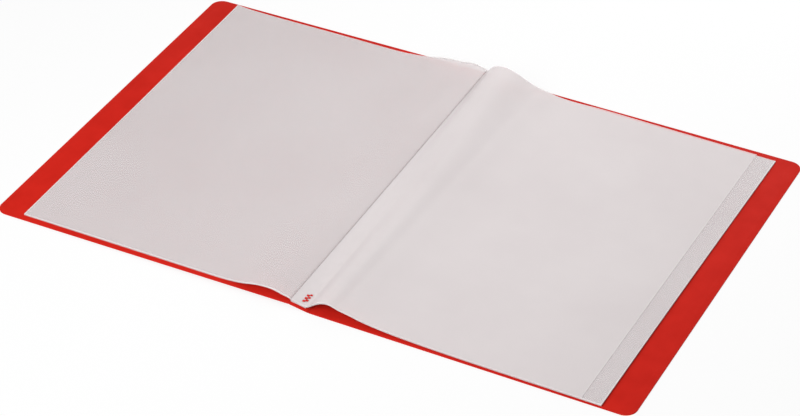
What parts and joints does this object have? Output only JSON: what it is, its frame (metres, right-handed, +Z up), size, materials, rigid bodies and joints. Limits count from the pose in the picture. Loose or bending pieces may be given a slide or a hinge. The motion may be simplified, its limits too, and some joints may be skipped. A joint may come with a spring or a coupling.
{
  "type": "clear pocket display book",
  "caption": "Open A4 display book: creased red plastic covers and spine with frosted clear film pockets welded to the spine, which turn like pages.",
  "frame": {"origin": "centre of the open book's outline, on the table it lies on", "axes": "+X from the front cover to the back cover across the spine, +Y along the spine towards the pockets' open ends, +Z up"},
  "size_m": [0.4888, 0.314, 0.0126],
  "materials": {
    "cover_plastic": "satin polypropylene, finely grained",
    "pocket_film": "frosted clear polypropylene film",
    "weld": "melted film over the red spine"
  },
  "bodies": {
    "back_cover": {"back_cover": "cover_plastic", "back_crease_web": "cover_plastic"},
    "spine": {"spine_panel": "cover_plastic", "front_crease_web": "cover_plastic", "binding_strip": "pocket_film", "spine_welds": "weld", "gutter_film": "pocket_film"},
    "front_cover": {"front_cover": "cover_plastic"},
    "pocket_01": {"pocket_01": "pocket_film", "pocket_01_bend": "pocket_film"},
    "pocket_02": {"pocket_02": "pocket_film", "pocket_02_bend": "pocket_film"},
    "pocket_03": {"pocket_03": "pocket_film", "pocket_03_bend": "pocket_film"},
    "pocket_04": {"pocket_04": "pocket_film", "pocket_04_bend": "pocket_film"},
    "pocket_05": {"pocket_05": "pocket_film", "pocket_05_bend": "pocket_film"},
    "pocket_06": {"pocket_06": "pocket_film", "pocket_06_bend": "pocket_film"},
    "pocket_07": {"pocket_07": "pocket_film", "pocket_07_bend": "pocket_film"},
    "pocket_08": {"pocket_08": "pocket_film", "pocket_08_bend": "pocket_film"},
    "pocket_09": {"pocket_09": "pocket_film", "pocket_09_bend": "pocket_film"},
    "pocket_10": {"pocket_10": "pocket_film", "pocket_10_bend": "pocket_film"},
    "pocket_11": {"pocket_11": "pocket_film", "pocket_11_bend": "pocket_film"},
    "pocket_12": {"pocket_12": "pocket_film", "pocket_12_bend": "pocket_film"},
    "pocket_13": {"pocket_13": "pocket_film", "pocket_13_bend": "pocket_film"},
    "pocket_14": {"pocket_14": "pocket_film", "pocket_14_bend": "pocket_film"},
    "pocket_15": {"pocket_15": "pocket_film", "pocket_15_bend": "pocket_film"},
    "pocket_16": {"pocket_16": "pocket_film", "pocket_16_bend": "pocket_film"},
    "pocket_17": {"pocket_17": "pocket_film", "pocket_17_bend": "pocket_film"},
    "pocket_18": {"pocket_18": "pocket_film", "pocket_18_bend": "pocket_film"},
    "pocket_19": {"pocket_19": "pocket_film", "pocket_19_bend": "pocket_film"},
    "pocket_20": {"pocket_20": "pocket_film", "pocket_20_bend": "pocket_film"}
  },
  "joints": [
    {"name": "back_crease", "type": "hinge", "parent": "back_cover", "child": "spine", "pos_m": [0.00739, 0, 0.00035], "axis": [0, -1, 0], "range_deg": [-80.6, 0], "deforming": ["back_crease_web"]},
    {"name": "front_crease", "type": "hinge", "parent": "spine", "child": "front_cover", "pos_m": [-0.00741, 0, 0.0028], "axis": [0, -1, 0], "range_deg": [-99.99, 0], "deforming": ["front_crease_web"]},
    {"name": "pocket_01_turn", "type": "hinge", "parent": "front_cover", "child": "pocket_01", "pos_m": [-0.00746, 0, 0.0078], "axis": [0, 1, 0], "range_deg": [0, 182.59], "deforming": ["pocket_01_bend"]},
    {"name": "pocket_02_turn", "type": "hinge", "parent": "front_cover", "child": "pocket_02", "pos_m": [-0.00746, 0, 0.0078], "axis": [0, 1, 0], "range_deg": [0, 182.59], "deforming": ["pocket_02_bend"]},
    {"name": "pocket_03_turn", "type": "hinge", "parent": "front_cover", "child": "pocket_03", "pos_m": [-0.00746, 0, 0.0078], "axis": [0, 1, 0], "range_deg": [0, 182.59], "deforming": ["pocket_03_bend"]},
    {"name": "pocket_04_turn", "type": "hinge", "parent": "front_cover", "child": "pocket_04", "pos_m": [-0.00746, 0, 0.0078], "axis": [0, 1, 0], "range_deg": [0, 182.59], "deforming": ["pocket_04_bend"]},
    {"name": "pocket_05_turn", "type": "hinge", "parent": "front_cover", "child": "pocket_05", "pos_m": [-0.00746, 0, 0.0078], "axis": [0, 1, 0], "range_deg": [0, 182.59], "deforming": ["pocket_05_bend"]},
    {"name": "pocket_06_turn", "type": "hinge", "parent": "front_cover", "child": "pocket_06", "pos_m": [-0.00746, 0, 0.0078], "axis": [0, 1, 0], "range_deg": [0, 182.59], "deforming": ["pocket_06_bend"]},
    {"name": "pocket_07_turn", "type": "hinge", "parent": "front_cover", "child": "pocket_07", "pos_m": [-0.00746, 0, 0.0078], "axis": [0, 1, 0], "range_deg": [0, 182.59], "deforming": ["pocket_07_bend"]},
    {"name": "pocket_08_turn", "type": "hinge", "parent": "front_cover", "child": "pocket_08", "pos_m": [-0.00746, 0, 0.0078], "axis": [0, 1, 0], "range_deg": [0, 182.59], "deforming": ["pocket_08_bend"]},
    {"name": "pocket_09_turn", "type": "hinge", "parent": "pocket_08", "child": "pocket_09", "pos_m": [-0.00746, 0, 0.0078], "axis": [0, 1, 0], "range_deg": [0, 177.41], "deforming": ["pocket_09_bend"]},
    {"name": "pocket_10_turn", "type": "hinge", "parent": "back_cover", "child": "pocket_10", "pos_m": [-0.00741, 0, 0.0084], "axis": [0, -1, 0], "range_deg": [0, 182.79], "deforming": ["pocket_10_bend"]},
    {"name": "pocket_11_turn", "type": "hinge", "parent": "back_cover", "child": "pocket_11", "pos_m": [0.00739, 0, 0.00895], "axis": [0, -1, 0], "range_deg": [0, 182.79], "deforming": ["pocket_11_bend"]},
    {"name": "pocket_12_turn", "type": "hinge", "parent": "back_cover", "child": "pocket_12", "pos_m": [0.00739, 0, 0.00895], "axis": [0, -1, 0], "range_deg": [0, 182.79], "deforming": ["pocket_12_bend"]},
    {"name": "pocket_13_turn", "type": "hinge", "parent": "back_cover", "child": "pocket_13", "pos_m": [0.00739, 0, 0.00895], "axis": [0, -1, 0], "range_deg": [0, 182.79], "deforming": ["pocket_13_bend"]},
    {"name": "pocket_14_turn", "type": "hinge", "parent": "back_cover", "child": "pocket_14", "pos_m": [0.00739, 0, 0.00895], "axis": [0, -1, 0], "range_deg": [0, 182.79], "deforming": ["pocket_14_bend"]},
    {"name": "pocket_15_turn", "type": "hinge", "parent": "back_cover", "child": "pocket_15", "pos_m": [0.00739, 0, 0.00895], "axis": [0, -1, 0], "range_deg": [0, 182.79], "deforming": ["pocket_15_bend"]},
    {"name": "pocket_16_turn", "type": "hinge", "parent": "back_cover", "child": "pocket_16", "pos_m": [0.00739, 0, 0.00895], "axis": [0, -1, 0], "range_deg": [0, 182.79], "deforming": ["pocket_16_bend"]},
    {"name": "pocket_17_turn", "type": "hinge", "parent": "back_cover", "child": "pocket_17", "pos_m": [0.00739, 0, 0.00895], "axis": [0, -1, 0], "range_deg": [0, 182.79], "deforming": ["pocket_17_bend"]},
    {"name": "pocket_18_turn", "type": "hinge", "parent": "back_cover", "child": "pocket_18", "pos_m": [0.00739, 0, 0.00895], "axis": [0, -1, 0], "range_deg": [0, 182.79], "deforming": ["pocket_18_bend"]},
    {"name": "pocket_19_turn", "type": "hinge", "parent": "back_cover", "child": "pocket_19", "pos_m": [0.00739, 0, 0.00895], "axis": [0, -1, 0], "range_deg": [0, 182.79], "deforming": ["pocket_19_bend"]},
    {"name": "pocket_20_turn", "type": "hinge", "parent": "back_cover", "child": "pocket_20", "pos_m": [0.00739, 0, 0.00895], "axis": [0, -1, 0], "range_deg": [0, 182.79], "deforming": ["pocket_20_bend"]}
  ],
  "couplings": [
    {"joint": "pocket_01_turn", "follows": "pocket_08_turn", "ratio": 1},
    {"joint": "pocket_02_turn", "follows": "pocket_08_turn", "ratio": 1},
    {"joint": "pocket_03_turn", "follows": "pocket_08_turn", "ratio": 1},
    {"joint": "pocket_04_turn", "follows": "pocket_08_turn", "ratio": 1},
    {"joint": "pocket_05_turn", "follows": "pocket_08_turn", "ratio": 1},
    {"joint": "pocket_06_turn", "follows": "pocket_08_turn", "ratio": 1},
    {"joint": "pocket_07_turn", "follows": "pocket_08_turn", "ratio": 1},
    {"joint": "pocket_10_turn", "follows": "pocket_11_turn", "ratio": 1},
    {"joint": "pocket_12_turn", "follows": "pocket_11_turn", "ratio": 1},
    {"joint": "pocket_13_turn", "follows": "pocket_11_turn", "ratio": 1},
    {"joint": "pocket_14_turn", "follows": "pocket_11_turn", "ratio": 1},
    {"joint": "pocket_15_turn", "follows": "pocket_11_turn", "ratio": 1},
    {"joint": "pocket_16_turn", "follows": "pocket_11_turn", "ratio": 1},
    {"joint": "pocket_17_turn", "follows": "pocket_11_turn", "ratio": 1},
    {"joint": "pocket_18_turn", "follows": "pocket_11_turn", "ratio": 1},
    {"joint": "pocket_19_turn", "follows": "pocket_11_turn", "ratio": 1},
    {"joint": "pocket_20_turn", "follows": "pocket_11_turn", "ratio": 1}
  ]
}
